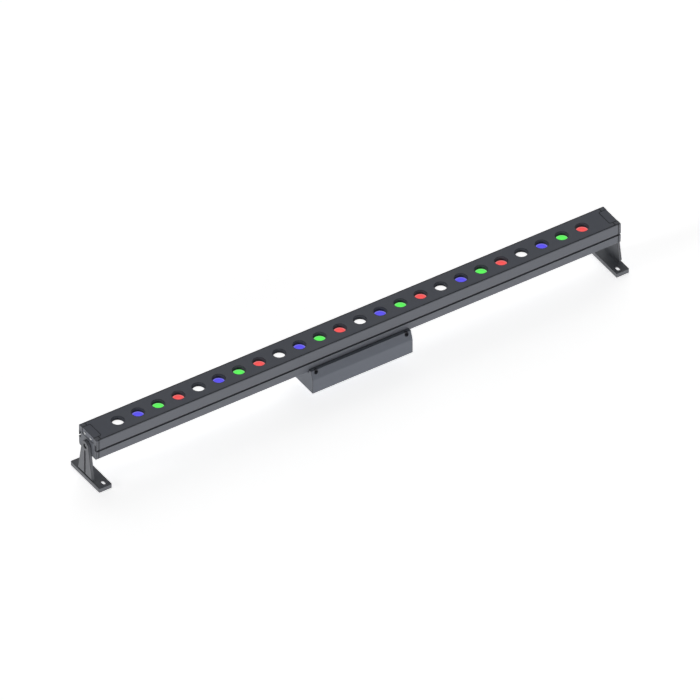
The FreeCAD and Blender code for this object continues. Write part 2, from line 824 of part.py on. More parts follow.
def lid_screw_places():
    """Places of the lid screws: columns along the box, one screw at each side."""
    places = []
    step = 2 * lid_boss_x / (lid_screw_columns - 1)
    for column in range(lid_screw_columns):
        for side in (-1, 1):
            places.append((-lid_boss_x + column * step, side * lid_boss_y))
    return places


def driver_box():
    """Cast driver box: shell, saddle, lid rebate, screw bosses, screw recesses and cable hole."""
    shell = prism_x(box_outline(), -box_half, box_half)
    shell = shell.cut(prism_x(box_cavity_outline(), -box_half + box_wall, box_half - box_wall))
    inner_x = box_half - lid_rim
    inner_y = box_side - lid_rim
    rebate = block(-inner_x, inner_x, -inner_y, inner_y, box_bottom - drill_overrun, lid_seat)
    shell = shell.cut(rebate)
    boss_top = lid_seat + lid_boss_height
    bosses = [rod_z(lid_boss_radius, lid_seat, boss_top, x, y) for x, y in lid_screw_places()]
    shell = joined([shell] + bosses)
    bore = lid_screw_radius + thread_clearance
    cuts = [
        rod_z(bore, lid_seat - drill_overrun, boss_top - drill_overrun, x, y) for x, y in lid_screw_places()]
    cuts.extend(screw_recesses())
    cuts.extend(box_screw_shafts(box_screw_radius + thread_clearance))
    cuts.append(wire_hole(box_ceiling - drill_overrun, bar_bottom + drill_overrun))
    hole = gland_thread_radius + thread_clearance
    cuts.append(rod_x(hole, box_half - box_wall - drill_overrun, box_half + drill_overrun, gland_y, gland_z))
    return shell.cut(cuts)


def lid_screw(x, y, grown=0.0):
    """Countersunk lid screw, driven from below, or the room for it when grown."""
    radius = lid_screw_radius + grown
    head = lid_screw_head_radius + grown
    low = box_bottom - grown
    profile = [
        (0.0, low),
        (head, low),
        (head, low + 2 * grown),
        (radius, box_bottom + lid_screw_head_height + grown),
        (radius, box_bottom + lid_screw_length),
        (0.0, box_bottom + lid_screw_length),
    ]
    if grown == 0:
        profile.pop(2)
    return turned(profile, x, y)


def standoff_places():
    """Places of the four standoffs under the driver board."""
    x = driver_board_half - standoff_inset
    y = driver_board_side - standoff_inset
    return [(side_x * x, side_y * y) for side_x in (-1, 1) for side_y in (-1, 1)]


def box_lid():
    """Flat lid let into the bottom of the driver box, with standoffs for the board."""
    inner_x = box_half - lid_rim - lid_clearance
    inner_y = box_side - lid_rim - lid_clearance
    plate = block(-inner_x, inner_x, -inner_y, inner_y, box_bottom, lid_top)
    standoffs = [rod_z(standoff_radius, lid_top, standoff_top, x, y) for x, y in standoff_places()]
    body = joined([plate] + standoffs)
    return body.cut([lid_screw(x, y, thread_clearance) for x, y in lid_screw_places()])


def lid_gasket():
    """Rubber frame between the lid and the box, with holes for the lid screws."""
    outer_x = box_half - lid_rim - lid_clearance
    outer_y = box_side - lid_rim - lid_clearance
    inner_x = outer_x - lid_gasket_width
    inner_y = outer_y - lid_gasket_width
    frame = block(-outer_x, outer_x, -outer_y, outer_y, lid_top, lid_seat)
    opening = block(-inner_x, inner_x, -inner_y, inner_y, lid_top - drill_overrun, lid_seat + drill_overrun)
    hole_radius = lid_screw_radius + thread_clearance
    holes = [rod_z(hole_radius, lid_top - drill_overrun, lid_seat + drill_overrun, x, y)
             for x, y in lid_screw_places()]
    return frame.cut([opening] + holes)


def box_screws():
    """Four level socket screws that clamp the driver box to the bar."""
    screws = []
    shafts = box_screw_shafts(box_screw_radius)
    for index, shaft in enumerate(shafts):
        end = -1 if index < 2 else 1
        side = -1 if index % 2 == 0 else 1
        x = end * box_screw_x
        head_reach = sorted((side * box_screw_seat, side * (box_screw_seat + box_screw_head_height)))
        head = rod_y(box_screw_head_radius, head_reach[0], head_reach[1], x, box_screw_z)
        socket_face = side * (box_screw_seat + box_screw_head_height)
        socket_reach = sorted((socket_face, socket_face - side * box_screw_socket_depth))
        socket_corners = hexagon(box_screw_socket_width, x, box_screw_z)
        socket = prism_y(socket_corners, socket_reach[0], socket_reach[1])
        screws.append(joined([shaft, head]).cut(socket))
    return Part.makeCompound(screws)


# ---------------------------------------------------------------- inside the driver box
def driver_board():
    """Circuit board on the lid's standoffs."""
    x = driver_board_half
    y = driver_board_side
    return block(-x, x, -y, y, standoff_top, driver_board_top)


def transformer():
    """Transformer on the driver board: a core frame round a wound bobbin."""
    half_x = transformer_length / 2
    half_y = transformer_width / 2
    top = driver_board_top + transformer_height
    core = block(
        transformer_x - half_x, transformer_x + half_x, -half_y / 2, half_y / 2, driver_board_top, top)
    winding = rod_x(winding_radius, transformer_x - half_x / 2, transformer_x + half_x / 2, 0,
                    driver_board_top + winding_radius)
    room = block(transformer_x - half_x, transformer_x + half_x, -half_y, half_y, driver_board_top, top)
    return joined([core, winding.common(room)])


def capacitors():
    """Upright can capacitors on the driver board."""
    top = driver_board_top + capacitor_height
    cans = [rod_z(capacitor_radius, driver_board_top, top, x, capacitor_y) for x in capacitor_x]
    return Part.makeCompound(cans)


def lead_wires():
    """Four straight wires from the driver board up through the grommet to the light board."""
    wires = []
    half = wire_pitch / 2
    for side_x in (-1, 1):
        for side_y in (-1, 1):
            x = wire_passage_x + side_x * half
            y = wire_passage_y + side_y * half
            wires.append(rod_z(wire_radius, driver_board_top, pad_top, x, y))
    return Part.makeCompound(wires)


def wire_grommet():
    """Rubber grommet that seals the passage between the driver box and the bar."""
    body = grommet_radius - grommet_clearance
    flange = grommet_radius + grommet_flange
    profile = [
        (grommet_bore_radius, box_ceiling - grommet_flange),
        (flange, box_ceiling - grommet_flange),
        (flange, box_ceiling),
        (body, box_ceiling),
        (body, chamber_bottom),
        (flange, chamber_bottom),
        (flange, chamber_bottom + grommet_flange),
        (grommet_bore_radius, chamber_bottom + grommet_flange),
    ]
    return turned(profile, wire_passage_x, wire_passage_y)


# ---------------------------------------------------------------- cable gland
def gland_hex(x_low, x_high):
    """Hexagonal length of the gland."""
    return prism_x(hexagon(gland_flats, gland_y, gland_z), x_low, x_high)


def gland_body():
    """Gland body: inner thread, hexagon against the box and a neck for the nut, bored through."""
    inner_end = box_half - gland_inner_length
    neck_end = box_half + gland_hex_length + gland_neck_length
    barrel = rod_x(gland_thread_radius, inner_end, box_half, gland_y, gland_z)
    neck = rod_x(gland_neck_radius, box_half + gland_hex_length, neck_end, gland_y, gland_z)
    body = joined([barrel, gland_hex(box_half, box_half + gland_hex_length), neck])
    bore = rod_x(gland_bore_radius, inner_end - drill_overrun, neck_end + drill_overrun, gland_y, gland_z)
    return body.cut(bore)


def gland_lock_nut():
    """Thin nut on the gland's thread, inside the box."""
    high = box_half - box_wall
    nut = gland_hex(high - gland_lock_length, high)
    bore = gland_thread_radius + thread_clearance
    return nut.cut(rod_x(bore, high - gland_lock_length, high, gland_y, gland_z))


def gland_nut():
    """Domed nut over the gland's neck, with a rounded end and a mouth for the cable."""
    low = box_half + gland_hex_length
    high = low + gland_nut_length
    inner = gland_neck_radius + thread_clearance
    profile = [
        (low, inner),
        (low, gland_nut_radius),
        (high - gland_nut_wall, gland_nut_radius),
        (high, gland_nut_radius - gland_nut_wall),
        (high, gland_mouth_radius),
        (high - gland_nut_wall, gland_mouth_radius),
        (high - gland_nut_wall, inner),
    ]
    return turned_x(profile, gland_y, gland_z)


def gland_seal():
    """Rubber sleeve in the gland that grips the cable."""
    high = box_half + gland_hex_length + gland_neck_length
    low = high - gland_seal_length
    outer = rod_x(gland_bore_radius - thread_clearance, low, high, gland_y, gland_z)
    return outer.cut(rod_x(gland_seal_bore_radius, low, high, gland_y, gland_z))


# ---------------------------------------------------------------- all pieces
def pieces():
    """Every piece by its name, in the frame of the whole light."""
    made = {
        "housing": housing(),
        "face_plate": face_plate(),
        "face_gasket": face_gasket(),
        "led_board_left": led_board(-1),
        "led_board_right": led_board(1),
        "thermal_pads": thermal_pads(),
    }
    sources = {colour: [] for colour in led_colours}
    for index, x in enumerate(led_places):
        colour = led_colours[index % len(led_colours)]
        made[f"lens_{index + 1:02d}_{colour}"] = lens(x)
        sources[colour].append(light_source(x))
    for colour, solids in sources.items():
        made[f"leds_{colour}"] = Part.makeCompound(solids)
    for name, shape in (("end_cap", end_cap()), ("end_clip", end_clip()), ("bracket", bracket())):
        made[f"{name}_right"] = shape
        made[f"{name}_left"] = mirrored(shape)
    made["end_gaskets"] = both_ends(end_gasket())
    made["friction_washers"] = both_ends(friction_washer())
    made["pivot_bolts"] = both_ends(pivot_bolt())
    clip_places = (-clip_screw_spacing / 2, clip_screw_spacing / 2)
    made["clip_screws"] = both_ends(Part.makeCompound([clip_screw(y) for y in clip_places]))
    made["end_cap_screws"] = both_ends(Part.makeCompound([cap_screw(side) for side in (-1, 1)]))
    made["driver_box"] = driver_box()
    made["box_lid"] = box_lid()
    made["lid_gasket"] = lid_gasket()
    made["lid_screws"] = Part.makeCompound([lid_screw(x, y) for x, y in lid_screw_places()])
    made["box_screws"] = box_screws()
    made["driver_board"] = driver_board()
    made["transformer"] = transformer()
    made["capacitors"] = capacitors()
    made["lead_wires"] = lead_wires()
    made["wire_grommet"] = wire_grommet()
    made["gland_body"] = gland_body()
    made["gland_lock_nut"] = gland_lock_nut()
    made["gland_nut"] = gland_nut()
    made["gland_seal"] = gland_seal()
    return made


os.makedirs("parts", exist_ok=True)
for node, shape in pieces().items():
    shape.exportStep(os.path.join("parts", node + ".step"))
    print(node, len(shape.Solids), round(shape.Volume, 1), shape.isValid())
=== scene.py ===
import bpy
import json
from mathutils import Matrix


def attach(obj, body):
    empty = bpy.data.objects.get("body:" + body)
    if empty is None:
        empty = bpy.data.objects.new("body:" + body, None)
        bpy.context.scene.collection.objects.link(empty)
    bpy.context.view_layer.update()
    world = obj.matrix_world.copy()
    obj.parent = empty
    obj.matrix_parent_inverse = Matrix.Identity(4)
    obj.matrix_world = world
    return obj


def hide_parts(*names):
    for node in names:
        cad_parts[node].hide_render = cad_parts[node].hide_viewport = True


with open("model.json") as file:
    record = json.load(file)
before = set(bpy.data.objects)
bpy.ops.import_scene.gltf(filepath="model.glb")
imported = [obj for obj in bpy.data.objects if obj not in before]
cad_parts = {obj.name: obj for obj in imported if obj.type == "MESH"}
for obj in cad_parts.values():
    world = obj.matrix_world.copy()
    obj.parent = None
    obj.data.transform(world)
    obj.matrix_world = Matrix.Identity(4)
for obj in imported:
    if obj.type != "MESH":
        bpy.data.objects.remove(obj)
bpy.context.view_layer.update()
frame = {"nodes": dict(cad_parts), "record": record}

# Looks of an outdoor wall washer light, laid out as an add-on around its fixed frame.
# Metres, in the frame of the part: X along the bar, -Y towards the viewer, Z up.
# Every new surface is a grid of points from two parameters, worked out on whole arrays.
import json
import math

import bmesh
import bpy
import numpy as np
from mathutils import Vector

bl_info = {
    "name": "Wall washer light looks",
    "version": (1, 0, 0),
    "blender": (4, 5, 0),
    "location": "3D View > Sidebar > Wall washer",
    "description": "Builds the optics, screws, gland, finishes and stage of a wall washer light",
    "category": "Object",
}

MM = 0.001
LAMP = "lamp"
FINISH_PREFIX = "finish_"
MERGE_DISTANCE = 1e-7
SHARP_ANGLE = math.radians(32.0)

# The row of lights.
LIGHT_COUNT = 24
LIGHT_PITCH = 38.5 * MM
LIGHT_COLOURS = ("white", "blue", "green", "red")
BOARD_TOP = 74.3 * MM
LENS_RADIUS = 10.5 * MM
LENS_HEIGHT = 11.2 * MM
LENS_FOOT_RADIUS = 5.5 * MM
POCKET_RADIUS = 3.6 * MM
POCKET_DEPTH = 3.2 * MM
LENS_RIM_HEIGHT = 2.0 * MM
LENS_FLANK_RINGS = 9
LENS_FACE_RINGS = 10

# Gland nut: the middle of its back face, its radii, its lengths and its rings of points.
NUT_BASE = (99.3 * MM, 22.0 * MM, 32.0 * MM)
NUT_RADIUS = 8.4 * MM
NUT_MOUTH_RADIUS = 4.0 * MM
NUT_BORE_RADIUS = 6.45 * MM
NUT_LENGTH = 9.0 * MM
NUT_WALL = 1.6 * MM
NUT_CHAMFER = 0.3 * MM
NUT_FLANK = 6.2 * MM
NUT_LIP = 0.4 * MM
NUT_FLANK_RINGS = 9
NUT_DOME_RINGS = 7

# Images of a local frame (a, b, h) whose h axis points along the named direction.
AXES = {
    "+X": ((0, 1, 0), (0, 0, 1), (1, 0, 0)),
    "-X": ((0, -1, 0), (0, 0, 1), (-1, 0, 0)),
    "+Y": ((0, 0, 1), (1, 0, 0), (0, 1, 0)),
    "-Y": ((1, 0, 0), (0, 0, 1), (0, -1, 0)),
    "+Z": ((1, 0, 0), (0, 1, 0), (0, 0, 1)),
    "-Z": ((0, 1, 0), (1, 0, 0), (0, 0, -1)),
}

# Screws: head radius and height, shank radius, tip below the head's seat, socket width across
# its flats and socket depth, all in millimetres, and whether the head is countersunk.
SCREWS = {
    "clip_screws": {
        "head": (2.3, 1.3), "shank": (1.5, 6.0), "socket": (2.0, 0.8), "style": "round", "slot": "steel",
        "places": [
            (side * 499.5, y, 86.5, "+X" if side > 0 else "-X") for side in (-1, 1) for y in (-8.4, 8.4)],
    },
    "end_cap_screws": {
        "head": (2.6, 1.35), "shank": (1.25, 14.0), "socket": (1.5, 0.8), "style": "sunk", "slot": "steel",
        "places": [
            (side * 500.0, y, 58.5, "+X" if side > 0 else "-X") for side in (-1, 1) for y in (-7.5, 7.5)],
    },
    "pivot_bolts": {
        "head": (4.0, 1.5), "shank": (2.5, 18.9), "socket": (3.0, 0.9), "style": "flat", "slot": "steel",
        "places": [(side * 502.1, 0.0, 67.7, "+X" if side > 0 else "-X") for side in (-1, 1)],
    },
    # Their dark_steel heads carry painted shade standing in for the shade of their deep recesses.
    "box_screws": {
        "head": (2.75, 2.0), "shank": (1.5, 7.5), "socket": (2.5, 1.2), "style": "flat", "slot": "dark_steel",
        "places": [
            (x, side * 29.15, 55.4, "+Y" if side > 0 else "-Y") for side in (-1, 1) for x in (-86.3, 86.3)],
    },
    "lid_screws": {
        "head": (2.9, 1.6), "shank": (1.5, 9.0), "socket": (2.0, 0.9), "style": "sunk", "slot": "steel",
        "places": [(x, y, 17.0, "-Z") for x in (-84.8, 0.0, 84.8) for y in (-31.6, 31.6)],
    },
}

# The round heads' crown: its share of the head's height and its rings of points.
CROWN_SHARE = 0.65
CROWN_RINGS = 5

# Finishes: linear colour of each painted slot, then linear colour, metallic, roughness and grain
# strength of each bare one, then the colour of each lit lens.
PAINTS = {
    "bar_paint": (0.172, 0.183, 0.211),
    "face_paint": (0.172, 0.185, 0.221),
    "bracket_paint": (0.174, 0.182, 0.200),
    "box_paint": (0.181, 0.198, 0.237),
}
PLAIN_FINISHES = {
    "steel": ((0.86, 0.87, 0.88), 1.0, 0.24, 0.10),
    # dark_steel: a dark metal, made darker still as painted shade so the box screws' heads look as dark as
    # their deep recesses.
    "dark_steel": ((0.10, 0.10, 0.11), 1.0, 0.42, 0.15),
    "seal_rubber": ((0.015, 0.015, 0.016), 0.0, 0.75, 0.30),
    "washer_plastic": ((0.03, 0.03, 0.03), 0.0, 0.50, 0.10),
    "pad_grey": ((0.26, 0.27, 0.29), 0.0, 0.80, 0.30),
    "board_white": ((0.74, 0.74, 0.70), 0.0, 0.40, 0.08),
    "board_green": ((0.01, 0.09, 0.03), 0.0, 0.35, 0.08),
    "led_package": ((0.80, 0.62, 0.10), 0.0, 0.25, 0.05),
    "winding_yellow": ((0.52, 0.32, 0.02), 0.0, 0.55, 0.25),
    "capacitor_black": ((0.015, 0.015, 0.02), 0.0, 0.30, 0.05),
    "wire_plastic": ((0.32, 0.01, 0.01), 0.0, 0.40, 0.10),
    "gland_black": ((0.02, 0.02, 0.022), 0.0, 0.45, 0.25),
}
LENS_LIGHT = {
    "lens_white": (0.96, 0.96, 0.96),
    "lens_blue": (0.115, 0.092, 0.86),
    "lens_green": (0.115, 0.93, 0.115),
    "lens_red": (0.93, 0.100, 0.100),
}

LENS_ROUGHNESS = 0.25
# Painted highlight on the lens rims: the pale colour mixed into the rim's base colour and into its glow.
RIM_HIGHLIGHT_COLOUR = (0.75, 0.75, 0.75)
RIM_HIGHLIGHT_GLOW_COLOUR = (0.60, 0.60, 0.60)
# Painted shade: the dark colour painted along creases as shade and along outer edges as an outline.
EDGE_SHADE_COLOUR = (0.012, 0.013, 0.016)
DUST_COLOUR = (0.40, 0.38, 0.34)
RELIEF_DEPTH = 0.1 * MM

# Noises, each as its scale per metre and its detail, and the low and high end of each mask.
GRAIN_DETAIL = 2.0
DRIFT_NOISE = (7.0, 3.0)
BROKEN_NOISE = (60.0, 4.0)
DUST_NOISE = (25.0, 5.0)
EDGE_LIMITS = (0.005, 0.10)
BROKEN_LIMITS = (0.10, 0.45)
UPWARD_LIMITS = (0.4, 0.95)
DUST_LIMITS = (0.30, 0.75)
RIM_LIMITS = (0.72, 0.98)
ROUNDING_SAMPLES = 6
LINE_SAMPLES = 8

# Stage: the floor, the direction and spread of each light, and where the camera aims and stands.
WHITE = (1.0, 1.0, 1.0, 1.0)
FLOOR_COLOUR = (0.90, 0.90, 0.90, 1.0)
FLOOR_REACH = 6.0
FLOOR_LEVEL = -0.1 * MM
SUNS = {
    "side_key": ((-1.0, 0.10, 0.35), math.radians(16.0)),
    "front_key": ((0.05, -1.0, 0.18), math.radians(25.0)),
    "back_fill": ((0.6, 1.0, 0.7), math.radians(60.0)),
}
CAMERA_AIM = (-0.005, -0.008, 0.0465)
CAMERA_DISTANCE = 3.0
CAMERA_FAR = 100.0


# ---------------------------------------------------------------- settings
class WASHER_PG_lens(bpy.types.PropertyGroup):
    """Sizes of the optics that only the looks need."""

    segments: bpy.props.IntProperty(
        name="Segments", description="Points round one lens", default=64, min=12)
    rim_width: bpy.props.FloatProperty(
        name="Rim width", description="Flat ring round the lens face",
        default=1.0 * MM, unit="LENGTH", precision=5)
    edge_radius: bpy.props.FloatProperty(
        name="Edge radius", description="Rounding of the rim", default=0.2 * MM, unit="LENGTH", precision=5)
    groove_depth: bpy.props.FloatProperty(
        name="Groove depth", description="Step between rim and face",
        default=0.3 * MM, unit="LENGTH", precision=5)
    crown: bpy.props.FloatProperty(
        name="Crown", description="Rise of the face at its middle",
        default=0.25 * MM, unit="LENGTH", precision=5)
    flank_bulge: bpy.props.FloatProperty(
        name="Flank bulge", description="Outward bow of the cone",
        default=0.25 * MM, unit="LENGTH", precision=5)
    glow: bpy.props.FloatProperty(
        name="Glow", description="Brightness of the lit lens face", default=0.95, min=0.0)
    # Painted highlight: how much of the pale rim colour is mixed into each lens's rim.
    rim_highlight: bpy.props.FloatProperty(
        name="Rim tint", description="How much paler the rim is",
        default=0.22, subtype="FACTOR", min=0.0, max=1.0)


class WASHER_PG_detail(bpy.types.PropertyGroup):
    """Sizes of the screws and the gland nut that only the looks need."""

    screw_segments: bpy.props.IntProperty(
        name="Screw segments", description="Points round one screw", default=48, min=12)
    screw_edge: bpy.props.FloatProperty(
        name="Screw edge", description="Rounding of screw heads",
        default=0.2 * MM, unit="LENGTH", precision=5)
    nut_segments: bpy.props.IntProperty(
        name="Nut segments", description="Points round the gland nut", default=144, min=36)
    flute_count: bpy.props.IntProperty(
        name="Flutes", description="Grip flutes round the gland nut", default=12, min=3)
    flute_depth: bpy.props.FloatProperty(
        name="Flute depth", description="Depth of each grip flute",
        default=0.45 * MM, unit="LENGTH", precision=5)


class WASHER_PG_finish(bpy.types.PropertyGroup):
    """Paint and wear."""

    roughness: bpy.props.FloatProperty(
        name="Roughness", description="Roughness of the powder coat", default=0.48, subtype="FACTOR")
    grain_scale: bpy.props.FloatProperty(
        name="Grain scale", description="Grains per metre of the powder coat", default=900.0)
    grain_strength: bpy.props.FloatProperty(
        name="Grain strength", description="Relief of the powder coat", default=0.12, subtype="FACTOR")
    variation: bpy.props.FloatProperty(
        name="Variation", description="Slow drift of the paint's tone", default=0.05, subtype="FACTOR")
    edge_radius: bpy.props.FloatProperty(
        name="Edge radius", description="Rounding seen on painted edges",
        default=0.5 * MM, unit="LENGTH", precision=5)
    # Painted shade: reach and strength of the dark line painted along edges, shade in creases and an outline
    # on outer edges.
    line_radius: bpy.props.FloatProperty(
        name="Line radius", description="Reach of the dark line from an edge",
        default=1.8 * MM, unit="LENGTH", precision=5)
    edge_shade: bpy.props.FloatProperty(
        name="Edge shade", description="Dark line along every edge", default=0.85, subtype="FACTOR")
    dust: bpy.props.FloatProperty(
        name="Dust", description="Dust on faces that look up", default=0.05, subtype="FACTOR")


class WASHER_PG_stage(bpy.types.PropertyGroup):
    """Light, floor and camera."""

    ambient: bpy.props.FloatProperty(name="Ambient", description="Light from all round", default=0.06)
    side_key: bpy.props.FloatProperty(name="Side key", description="Light from the left end", default=0.66)
    front_key: bpy.props.FloatProperty(name="Front key", description="Light from the front", default=0.68)
    back_fill: bpy.props.FloatProperty(name="Back fill", description="Light from behind", default=0.95)
    floor_bounce: bpy.props.FloatProperty(
        name="Floor bounce", description="Light that the floor gives to the object", default=0.56)
    floor_lift: bpy.props.FloatProperty(
        name="Floor lift", description="Brightness that the floor adds for the camera", default=0.74)
    camera_azimuth: bpy.props.FloatProperty(
        name="Azimuth", description="Camera's turn about the object",
        default=math.radians(-33.11), subtype="ANGLE")
    camera_elevation: bpy.props.FloatProperty(
        name="Elevation", description="Camera's height angle", default=math.radians(39.63), subtype="ANGLE")
    camera_width: bpy.props.FloatProperty(
        name="View width", description="Width that the camera sees", default=1.1186, unit="LENGTH")


# ---------------------------------------------------------------- surfaces
def finish_of(slot):
    """The material made here for a slot of the record."""
    return bpy.data.materials[FINISH_PREFIX + slot]


def turned_grid(radii, heights, angles):
    """Grid of points: row i is a ring at heights[i], radii[i] from the h axis at each angle."""
    a = radii * np.cos(angles)
    b = radii * np.sin(angles)
    h = np.broadcast_to(heights, a.shape)
    return np.stack((a, b, h), axis=-1)


def placed(points, centre, axis):
    """Local (a, b, h) points carried to a centre, with h along the named axis."""
    return points @ np.array(AXES[axis], dtype=float) + np.array(centre, dtype=float)


def ring_angles(count):
    """Equal angles round a circle, as one row."""
    return np.linspace(0.0, 2.0 * np.pi, count, endpoint=False)[None, :]


def grid_faces(rows, columns, closed_rows, start):
    """Quads of a grid whose columns close on themselves, facing away from the h axis."""
    last = rows if closed_rows else rows - 1
    i = np.arange(last)[:, None]
    j = np.arange(columns)[None, :]
    i_next = (i + 1) % rows
    j_next = (j + 1) % columns
    quads = np.stack((
        i * columns + j, i * columns + j_next, i_next * columns + j_next, i_next * columns + j), axis=-1)
    return quads.reshape(-1, 4) + start


def build_piece(name, grids, closed_rows, slot, nodes, body=LAMP):
    """One object at the origin from grids of points, with its finish, body and replaced nodes."""
    missing = [node for node in nodes if node not in frame["nodes"]]
    if missing:
        raise RuntimeError("frame has no node " + ", ".join(missing))
    vertices = np.concatenate([grid.reshape(-1, 3) for grid in grids])
    starts = np.cumsum([0] + [grid.shape[0] * grid.shape[1] for grid in grids[:-1]])
    faces = np.concatenate([
        grid_faces(grid.shape[0], grid.shape[1], closed_rows, start) for grid, start in zip(grids, starts)])
    mesh = bpy.data.meshes.new(name)
    mesh.from_pydata(vertices.tolist(), [], faces.tolist())
    merged = bmesh.new()
    merged.from_mesh(mesh)
    bmesh.ops.remove_doubles(merged, verts=merged.verts, dist=MERGE_DISTANCE)
    merged.to_mesh(mesh)
    merged.free()
    mesh.polygons.foreach_set("use_smooth", np.ones(len(mesh.polygons), dtype=bool))
    mesh.set_sharp_from_angle(angle=SHARP_ANGLE)
    mesh.materials.append(finish_of(slot))
    piece = bpy.data.objects.new(name, mesh)
    bpy.context.scene.collection.objects.link(piece)
    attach(piece, body)
    if nodes:
        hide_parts(*nodes)
    return piece


# ---------------------------------------------------------------- shader groups
def new_group(name, inputs, outputs):
    """Empty shader group with typed sockets; returns it with its entry and exit nodes."""
    group = bpy.data.node_groups.new(name, "ShaderNodeTree")
    for label, kind, default in inputs:
        socket = group.interface.new_socket(label, in_out="INPUT", socket_type=kind)
        if default is not None:
            socket.default_value = default
    for label, kind in outputs:
        group.interface.new_socket(label, in_out="OUTPUT", socket_type=kind)
    return group, group.nodes.new("NodeGroupInput"), group.nodes.new("NodeGroupOutput")


def math_node(tree, operation, first, second=None, clamp=False):
    """Maths node with sockets or numbers as its operands; returns its output."""
    node = tree.nodes.new("ShaderNodeMath")
    node.operation = operation
    node.use_clamp = clamp
    for index, value in enumerate((first, second)):
        if value is None:
            continue
        if isinstance(value, (int, float)):
            node.inputs[index].default_value = value
        else:
            tree.links.new(value, node.inputs[index])
    return node.outputs[0]


def noise_value(tree, vector, scale, detail):
    """Noise between 0 and 1 at a scale per metre, which is a socket or a number."""
    node = tree.nodes.new("ShaderNodeTexNoise")
    tree.links.new(vector, node.inputs["Vector"])
    if isinstance(scale, (int, float)):
        node.inputs["Scale"].default_value = scale
    else:
        tree.links.new(scale, node.inputs["Scale"])
    node.inputs["Detail"].default_value = detail
    return node.outputs["Fac"]


def smooth_step(tree, value, low, high):
    """0 below low, 1 above high and a smooth rise between."""
    node = tree.nodes.new("ShaderNodeMapRange")
    node.interpolation_type = "SMOOTHSTEP"
    tree.links.new(value, node.inputs["Value"])
    node.inputs["From Min"].default_value = low
    node.inputs["From Max"].default_value = high
    return node.outputs["Result"]


def grain_group():
    """Coat grain: a fine relief, and a slow drift that scales the colour up and down."""
    group, enter, leave = new_group(
        "coat_grain",
        [("Vector", "NodeSocketVector", None), ("Colour", "NodeSocketColor", None),
         ("Scale", "NodeSocketFloat", 900.0), ("Variation", "NodeSocketFloat", 0.05)],
        [("Colour", "NodeSocketColor"), ("Height", "NodeSocketFloat")])
    vector = enter.outputs["Vector"]
    fine = noise_value(group, vector, enter.outputs["Scale"], GRAIN_DETAIL)
    slow = noise_value(group, vector, *DRIFT_NOISE)
    drift = math_node(group, "MULTIPLY", math_node(group, "SUBTRACT", slow, 0.5), enter.outputs["Variation"])
    speck = math_node(group, "MULTIPLY", math_node(group, "SUBTRACT", fine, 0.5), enter.outputs["Variation"])
    factor = math_node(group, "ADD", math_node(group, "ADD", drift, speck), 1.0)
    scaled = group.nodes.new("ShaderNodeVectorMath")
    scaled.operation = "SCALE"
    group.links.new(enter.outputs["Colour"], scaled.inputs[0])
    group.links.new(factor, scaled.inputs["Scale"])
    group.links.new(scaled.outputs["Vector"], leave.inputs["Colour"])
    group.links.new(fine, leave.inputs["Height"])
    return group


def edge_group():
    """Edges: the normal rounded over a radius, and a wider mask where it leaves the flat normal, which places
    the painted shade in creases and the painted dark outline on outer edges.
    """
    group, enter, leave = new_group(
        "edge_shade",
        [("Vector", "NodeSocketVector", None), ("Radius", "NodeSocketFloat", 0.5 * MM),
         ("Line radius", "NodeSocketFloat", 1.8 * MM)],
        [("Mask", "NodeSocketFloat"), ("Normal", "NodeSocketVector")])
    bevel = group.nodes.new("ShaderNodeBevel")
    bevel.samples = ROUNDING_SAMPLES
    group.links.new(enter.outputs["Radius"], bevel.inputs["Radius"])
    wide = group.nodes.new("ShaderNodeBevel")
    wide.samples = LINE_SAMPLES
    group.links.new(enter.outputs["Line radius"], wide.inputs["Radius"])
    flat = group.nodes.new("ShaderNodeNewGeometry")
    agree = group.nodes.new("ShaderNodeVectorMath")
    agree.operation = "DOT_PRODUCT"
    group.links.new(wide.outputs["Normal"], agree.inputs[0])
    group.links.new(flat.outputs["Normal"], agree.inputs[1])
    turn = math_node(group, "SUBTRACT", 1.0, agree.outputs["Value"])
    edge = smooth_step(group, turn, *EDGE_LIMITS)
    broken = smooth_step(group, noise_value(group, enter.outputs["Vector"], *BROKEN_NOISE), *BROKEN_LIMITS)
    group.links.new(math_node(group, "MULTIPLY", edge, broken), leave.inputs["Mask"])
    group.links.new(bevel.outputs["Normal"], leave.inputs["Normal"])
    return group


def dust_group():
    """Dust: a mottled mask on faces that look upwards."""
    group, enter, leave = new_group(
        "settled_dust",
        [("Vector", "NodeSocketVector", None), ("Amount", "NodeSocketFloat", 0.05)],
        [("Mask", "NodeSocketFloat")])
    flat = group.nodes.new("ShaderNodeNewGeometry")
    parts = group.nodes.new("ShaderNodeSeparateXYZ")
    group.links.new(flat.outputs["Normal"], parts.inputs[0])
    up = smooth_step(group, parts.outputs["Z"], *UPWARD_LIMITS)
    mottle = smooth_step(group, noise_value(group, enter.outputs["Vector"], *DUST_NOISE), *DUST_LIMITS)
    mask = math_node(group, "MULTIPLY", up, mottle)
    group.links.new(math_node(group, "MULTIPLY", mask, enter.outputs["Amount"]), leave.inputs["Mask"])
    return group


